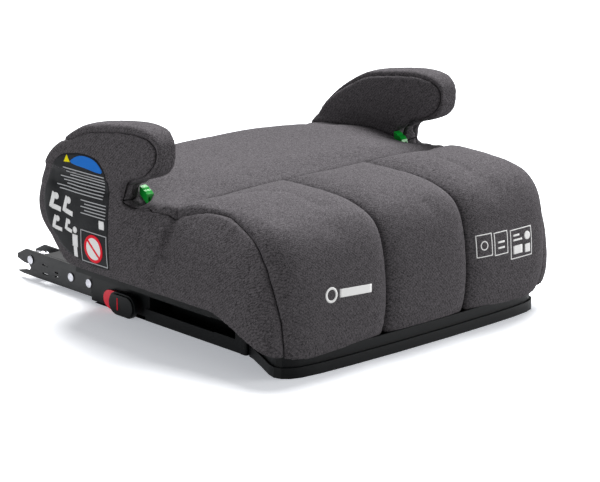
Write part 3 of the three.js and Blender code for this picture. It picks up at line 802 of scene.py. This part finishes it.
INDICATOR_SHIFT = 8.0  # the red indicator shows at the rear of the button
INDICATOR_SQUASH = 0.86
INDICATOR_FACE = 159.1  # the indicator's face lies outside this; its foot, inside, runs in the rail's slot
INDICATOR_TOP = 21.5  # height of the foot's top

LINE_AT = 0.62  # a button's line lies at this share of its length
LINE_HALF = 0.6  # half the line's width
LINE_ENDS = (6.5, 5.5)  # how far the line stays from the button's bottom and top


def piece_from(form, name):
    """An object from a bmesh, which is freed."""
    mesh = bpy.data.meshes.new(name)
    form.to_mesh(mesh)
    form.free()
    mesh.shade_smooth()
    return added(name, mesh)


def round_edges(piece, width):
    """Rounds a piece's edges, its width in millimetres."""
    bevel = piece.modifiers.new("Bevel", "BEVEL")
    bevel.width = width * MM
    bevel.segments = 3
    bevel.limit_method = "ANGLE"
    bevel.angle_limit = ROUNDED_ANGLE
    piece.modifiers.new("Normals", "WEIGHTED_NORMAL").keep_sharp = True


def on_side(side, corners):
    """A box of the left side, on the side where side is 1 (left) or -1 (right)."""
    low, high = corners
    near, far = sorted((side * low[0], side * high[0]))
    return (near, *low[1:]), (far, *high[1:])


def add_box(form, low, high):
    """Adds a box to a bmesh, its corners in millimetres."""
    made = bmesh.ops.create_cube(form, size=1.0)["verts"]
    for vert in made:
        vert.co = [(low[i] + (vert.co[i] + 0.5) * (high[i] - low[i])) * MM for i in range(3)]


def cut_box(piece, low, high):
    """Cuts a box out of a piece."""
    form = bmesh.new()
    add_box(form, low, high)
    cutter = piece_from(form, "cutter")
    modifier = piece.modifiers.new("Cut", "BOOLEAN")
    modifier.operation = "DIFFERENCE"
    modifier.solver = "EXACT"
    modifier.object = cutter
    cut = bpy.data.meshes.new_from_object(piece.evaluated_get(bpy.context.evaluated_depsgraph_get()))
    piece.modifiers.clear()
    piece.data = cut
    bpy.data.objects.remove(cutter)


def finished(node):
    """A copy of a CAD node's mesh with its facets joined."""
    form = bmesh.new()
    form.from_mesh(frame["nodes"][node].data)
    bmesh.ops.remove_doubles(form, verts=form.verts, dist=1e-6)
    bmesh.ops.dissolve_limit(form, angle_limit=math.radians(1), verts=form.verts, edges=form.edges)
    return piece_from(form, "finished_" + node)


def longer_slot(rail, side):
    """The rail's slot runs on to the end stop. Two thin dark sheets are added under and inside the rail as
    painted shade: they hide the glowing floor where the seat's shadow falls.
    """
    cut_box(rail, *on_side(side, SLOT_CUT))
    form = bmesh.new()
    form.from_mesh(rail.data)
    # Painted shade: dark sheets that hide the glowing floor where the seat's shadow falls.
    add_box(form, *on_side(side, SHADE_SHEET_LOW))
    add_box(form, *on_side(side, SHADE_SHEET_WALL))
    form.to_mesh(rail.data)
    form.free()


def make_belt_guide(node, side):
    """A slim hook whose toothed top slopes down to the front."""
    teeth = [(11.5 + 2.5 * i, 151.0 + 1.4 * i + 0.9 * (i % 2)) for i in range(5)]
    outline = [(22.8, 149.0), (8.5, 138.5), (10.6, 150.4), *teeth, (23.2, 157.6)]
    form = bmesh.new()
    rings = []
    for across in GUIDE_FACES:
        rings.append([form.verts.new((side * across * MM, y * MM, z * MM)) for y, z in outline])
    form.faces.new(rings[0])
    form.faces.new(rings[1])
    for i in range(len(outline)):
        j = (i + 1) % len(outline)
        form.faces.new((rings[0][i], rings[0][j], rings[1][j], rings[1][i]))
    bmesh.ops.recalc_face_normals(form, faces=form.faces)
    guide = piece_from(form, "finished_" + node)
    cut_box(guide, *on_side(side, GUIDE_CUT))
    guide.data.shade_smooth()
    round_edges(guide, FINE_ROUNDING)
    stand_for(guide, node)


def set_back(indicator):
    """The indicator shows further back and lower, while its foot stays in the rail's slot."""
    for vertex in indicator.data.vertices:
        vertex.co.y += INDICATOR_SHIFT * MM
        if abs(vertex.co.x) > INDICATOR_FACE * MM:
            vertex.co.z *= INDICATOR_SQUASH
        else:
            vertex.co.z = min(vertex.co.z, INDICATOR_TOP * MM)


def make_button_line(button, node, side):
    """A thin red line down the middle of a button's face."""
    low, high = box_mm(node)
    middle = low[1] + LINE_AT * (high[1] - low[1])
    bottom, top = low[2] + LINE_ENDS[0], high[2] - LINE_ENDS[1]
    line = rectangle((middle - LINE_HALF, bottom), (middle + LINE_HALF, top))
    away = "right" if side < 0 else "left"
    printed("button_line_" + away, node, tree_of([button]), away, srgb(236, 20, 50), [(line, 0)], BUTTON_LIFT)


def make_hard_parts():
    """Everything that isn't a cover, shell, foam or print. The springs stay as they are in the CAD."""
    for node in frame["nodes"]:
        side = -1 if node.endswith("right") else 1
        if SLOT_OF[node] in ("knit_cover", "foam", "shell_plastic") or node == "label_patch":
            continue
        if "spring" in node:
            coat(frame["nodes"][node], node)
            continue
        if node.startswith("belt_guide"):
            make_belt_guide(node, side)
            continue
        piece = finished(node)
        if node.startswith("guide_rail"):
            longer_slot(piece, side)
        if node.startswith("lock_indicator"):
            set_back(piece)
        width = next((width for kind, width in ROUNDING.items() if node.startswith(kind)), FINE_ROUNDING)
        round_edges(piece, width)
        stand_for(piece, node)
        if node.startswith("release_button"):
            make_button_line(piece, node, side)


# ---- prints ----
PRINT_STEP = 3.0  # spacing of a print's points, so that it follows the surface
PRINT_UNDER = 0.6  # how far a print's underside lies below the surface
LABEL_LIFT, PATTERN_LIFT, RING_LIFT = 0.3, 0.5, 0.7  # how far the label's layers stand out
FRONT_LIFT = 0.3
BUTTON_LIFT = 0.25
DISC = (60, 88.5)  # middle of the warning disc on the label
LINE_PITCH = 3.4  # spacing of the label's lines
LABEL_OUTLINE = [
    (112, 180), (96, 184), (69, 187), (51, 184), (41, 174), (37, 153), (36, 110), (36, 74), (36.5, 71),
    (40, 70.5), (82, 71), (116, 81), (137, 104), (144, 126), (140, 147), (129, 166),
]
CAP_OUTLINE = [(96, 176), (85, 182.5), (68, 185), (52, 181.5), (43.5, 173), (70, 172.5)]

# For each side that a print is laid on: the axis it looks along, and its distance out on that axis.
VIEWS = {"right": (0, -400.0), "left": (0, 400.0), "front": (1, -400.0)}


def outline_points(corners):
    """A closed outline with points added along its edges."""
    rows = []
    for here, ahead in zip(corners, corners[1:] + corners[:1]):
        here, ahead = np.array(here, float), np.array(ahead, float)
        count = max(1, math.ceil(np.linalg.norm(ahead - here) / PRINT_STEP))
        rows += [here + (ahead - here) * i / count for i in range(count)]
    return np.array(rows)


def circle(centre, radius, count=40):
    """A round outline."""
    turns = np.arange(count) * 2 * math.pi / count
    return [(centre[0] + radius * math.cos(t), centre[1] + radius * math.sin(t)) for t in turns]


def rectangle(low, high):
    """An upright outline, from two of its corners."""
    return [low, (high[0], low[1]), high, (low[0], high[1])]


def slanted_bar(centre, length, width, turn):
    """A rectangle turned by some degrees."""
    cosine, sine = math.cos(math.radians(turn)), math.sin(math.radians(turn))
    corners = rectangle((-length / 2, -width / 2), (length / 2, width / 2))
    return [(centre[0] + cosine * a - sine * b, centre[1] + sine * a + cosine * b) for a, b in corners]


def landing(tree, side, a, b):
    """Where a point of a print lands on a surface, and the surface's direction there."""
    axis, reach = VIEWS[side]
    start = Vector((reach, a, b)) if axis == 0 else Vector((a, reach, b))
    ray = Vector((0, 0, 0))
    ray[axis] = -math.copysign(1, reach)
    return tree.ray_cast(start, ray)[:2]


def add_print(form, tree, away, corners, stroke, lift):
    """Lays a thin closed film on a surface: a filled outline, or a frame if it has a stroke."""
    outer = outline_points(corners)
    low, high = outer.min(0), outer.max(0)
    centre = (low + high) / 2
    hole = np.clip(1 - 2 * stroke / (high - low), 0, 1) if stroke else np.zeros(2)
    rings = max(1, math.ceil((1 - hole.max()) * np.linalg.norm(high - low) / 2 / PRINT_STEP))
    sheets = []
    for height in (lift, -PRINT_UNDER):
        sheet = []
        for k in range(rings + 1):
            share = hole + (1 - hole) * k / rings
            row = []
            for a, b in centre + (outer - centre) * share:
                spot, normal = landing(tree, away, a, b)
                row.append(form.verts.new((spot + normal * height) * MM))
            sheet.append(row)
        sheets.append(sheet)
    top, under = sheets
    for i in range(len(outer)):
        j = (i + 1) % len(outer)
        for k in range(rings):
            form.faces.new([top[k][i], top[k][j], top[k + 1][j], top[k + 1][i]])
            form.faces.new([under[k][j], under[k][i], under[k + 1][i], under[k + 1][j]])
        for k in (0, rings) if stroke else (rings,):
            form.faces.new([top[k][i], top[k][j], under[k][j], under[k][i]])


def printed(name, node, tree, away, colour, shapes, lift):
    """One colour of print: shapes are outlines, each with the width of its stroke, or 0 if it is filled."""
    form = bmesh.new()
    for corners, stroke in shapes:
        add_print(form, tree, away, corners, stroke, lift)
    bmesh.ops.remove_doubles(form, verts=form.verts, dist=2e-5)
    bmesh.ops.recalc_face_normals(form, faces=form.faces)
    piece = piece_from(form, name)
    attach(piece, BODY_OF[node])
    piece.data.materials.append(moulded(name, colour, colour, 0.6, depth=0.00003, shine=0.1))
    return piece


def tree_of(pieces):
    """A search tree of some pieces' faces, in millimetres."""
    points, faces = [], []
    for piece in pieces:
        start = len(points)
        points += [Vector(spot) for spot in vertices(piece.data)]
        faces += [[start + i for i in face.vertices] for face in piece.data.polygons]
    return BVHTree.FromPolygons(points, faces)


def seat_sign(centre, size):
    """A plain chair with a head above it, as filled outlines."""
    across, up = centre
    back = slanted_bar((across + 0.55 * size, up + 0.2 * size), 2.0 * size, 0.6 * size, -72)
    cushion = slanted_bar((across - 0.15 * size, up - 0.65 * size), 1.5 * size, 0.6 * size, 8)
    return [(back, 0), (cushion, 0), (circle((across - 0.1 * size, up + 0.75 * size), 0.42 * size, 24), 0)]


def label_lines():
    """Plain bars in place of text, and the frame round the warning disc."""
    lines = []
    for i in range(8):
        low = (41 + 0.6 * i, 167 - LINE_PITCH * i)
        high = (108 + 2.2 * i - 7 * (i % 3), 168 - LINE_PITCH * i)
        lines.append((rectangle(low, high), 0))
    for i in range(5):
        low = (40, 137 - LINE_PITCH * i)
        high = (80 - 6 * (i % 2), 138 - LINE_PITCH * i)
        lines.append((rectangle(low, high), 0))
    return lines + [(rectangle((38, 72), (81, 106)), 0.9)]


def label_tiles():
    """Plain pictures: four seats, a code tile, and a standing figure."""
    tiles = seat_sign((123, 127), 9.0) + seat_sign((102, 126), 9.0)
    tiles += seat_sign((121, 104), 7.5) + seat_sign((102, 105), 6.5)
    tiles += [(circle((91, 103), 3.6, 24), 0), (rectangle((42, 112), (50, 121)), 0)]
    return tiles + [(rectangle((86.5, 85), (95.5, 98)), 0), (rectangle((88, 74), (94, 86)), 0)]


def make_label(tree):
    """The large label on the right side, in layers, with no lettering."""
    place = "label_patch", tree, "right"
    field = spline(LABEL_OUTLINE, 4).tolist()
    patch = printed("label_field", *place, srgb(22, 23, 25), [(field, 0)], LABEL_LIFT)
    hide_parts("label_patch")
    cap = spline(CAP_OUTLINE, 4).tolist()
    printed("label_cap", *place, srgb(34, 118, 214), [(cap, 0)], PATTERN_LIFT)
    sign = [(107, 173.5), (96.5, 174.5), (102.5, 181.5)]
    printed("label_sign", *place, srgb(250, 236, 20), [(sign, 0)], PATTERN_LIFT)
    printed("label_lines", *place, srgb(190, 192, 196), label_lines(), PATTERN_LIFT)
    printed("label_tiles", *place, srgb(246, 247, 248), label_tiles(), PATTERN_LIFT)
    printed("label_disc", *place, srgb(250, 250, 250), [(circle(DISC, 13), 0)], PATTERN_LIFT)
    ring = [(circle(DISC, 15), 3.2), (slanted_bar(DISC, 26, 2.6, 42), 0)]
    printed("label_ring", *place, srgb(244, 40, 58), ring, RING_LIFT)


def make_front_prints(tree):
    """A plain mark and three icons on the front, with no lettering."""
    mark = [(circle((-132, 80.5), 8), 2.6), (slanted_bar((-99, 78.5), 44, 8.5, -4), 0)]
    printed("front_mark", "front_panel_right", tree, "front", srgb(254, 254, 254), mark, FRONT_LIFT)
    frames = [((76.5, 77), (98, 101)), ((101, 75.5), (121, 100)), ((125, 67), (158, 98.5))]
    bars = [
        ((106, 82), (116, 84)), ((106, 88), (116, 90)), ((129, 72), (143, 81)), ((129, 86), (143, 88)),
        ((129, 91), (139, 93)), ((147, 71), (155, 80)),
    ]
    icons = [(rectangle(*corners), 1.0) for corners in frames] + [(circle((87, 89), 5, 24), 1.2)]
    icons += [(rectangle(*corners), 0) for corners in bars] + [(circle((151, 89), 4.5, 24), 0)]
    printed("front_icons", "front_panel_left", tree, "front", srgb(250, 250, 250), icons, FRONT_LIFT)


# ---- the studio ----
SKY = 0.33  # strength of the light from all round
PAPER_GLOW = 0.33
AIM = (0, 0, 0.08)  # what the lights point at
CAMERA_AT = (-1.7064, -1.8862, 0.7753)
CAMERA_AZIMUTH, CAMERA_ELEVATION = -42.38, 15.53  # degrees, from straight in front
LENS, SENSOR = 147.17, 36.0


def make_stage():
    """A pale floor, an even white surround and plain colours."""
    bpy.ops.mesh.primitive_plane_add(size=24)
    floor = bpy.context.object
    floor.name = "studio_floor"
    paper = Nodes("paper")
    tone = paper.mix(paper.noise(3.0), srgb(247, 248, 250), srgb(251, 252, 253))
    paper.set(Base_Color=tone, Roughness=1.0, Specular_IOR_Level=0.0)
    paper.set(Emission_Color=srgb(243, 247, 255), Emission_Strength=PAPER_GLOW)
    floor.data.materials.append(paper.material)
    floor.visible_diffuse = False

    world = bpy.data.worlds.new("studio")
    bpy.context.scene.world = world
    world.use_nodes = True
    background = world.node_tree.nodes["Background"]
    background.inputs["Color"].default_value = (1, 1, 1, 1)
    background.inputs["Strength"].default_value = SKY
    bpy.context.scene.view_settings.view_transform = "Standard"


def add_light(data, at):
    """Puts a light in place, turned to the seat."""
    light = added(data.name, data)
    light.location = at
    light.rotation_euler = (Vector(AIM) - Vector(at)).to_track_quat("-Z", "Y").to_euler()


def sky_light(name, at, strength, spread):
    """A far, even light: the same on the seat as all over the floor."""
    data = bpy.data.lights.new(name, "SUN")
    data.energy = strength
    data.angle = math.radians(spread)
    add_light(data, at)


def area_light(name, at, size, power):
    """A rectangular lamp, its size in metres and its power in watts."""
    data = bpy.data.lights.new(name, "AREA")
    data.shape = "RECTANGLE"
    data.size, data.size_y = size
    data.energy = power
    add_light(data, at)


def make_lights():
    sky_light("overhead", (0.9, 0.8, 2.0), 6.0, 40)
    area_light("front", (2.3, -1.9, 0.4), (1.2, 0.8), 55)
    area_light("side", (-2.4, 0.0, 0.3), (0.8, 0.6), 16)


def make_camera():
    azimuth, elevation = math.radians(CAMERA_AZIMUTH), math.radians(CAMERA_ELEVATION)
    backward = Vector((
        math.sin(azimuth) * math.cos(elevation),
        -math.cos(azimuth) * math.cos(elevation),
        math.sin(elevation),
    ))
    data = bpy.data.cameras.new("camera")
    data.sensor_width = SENSOR
    data.lens = LENS
    data.clip_end = 60.0
    camera = added("camera", data)
    camera.location = CAMERA_AT
    camera.rotation_euler = (-backward).to_track_quat("-Z", "Y").to_euler()
    bpy.context.scene.camera = camera


make_materials()
block = Block()
covers = make_covers(block)
make_shell(block)
cover_faces = tree_of(covers)
make_label(cover_faces)
make_front_prints(cover_faces)
make_hard_parts()
make_stage()
make_lights()
make_camera()
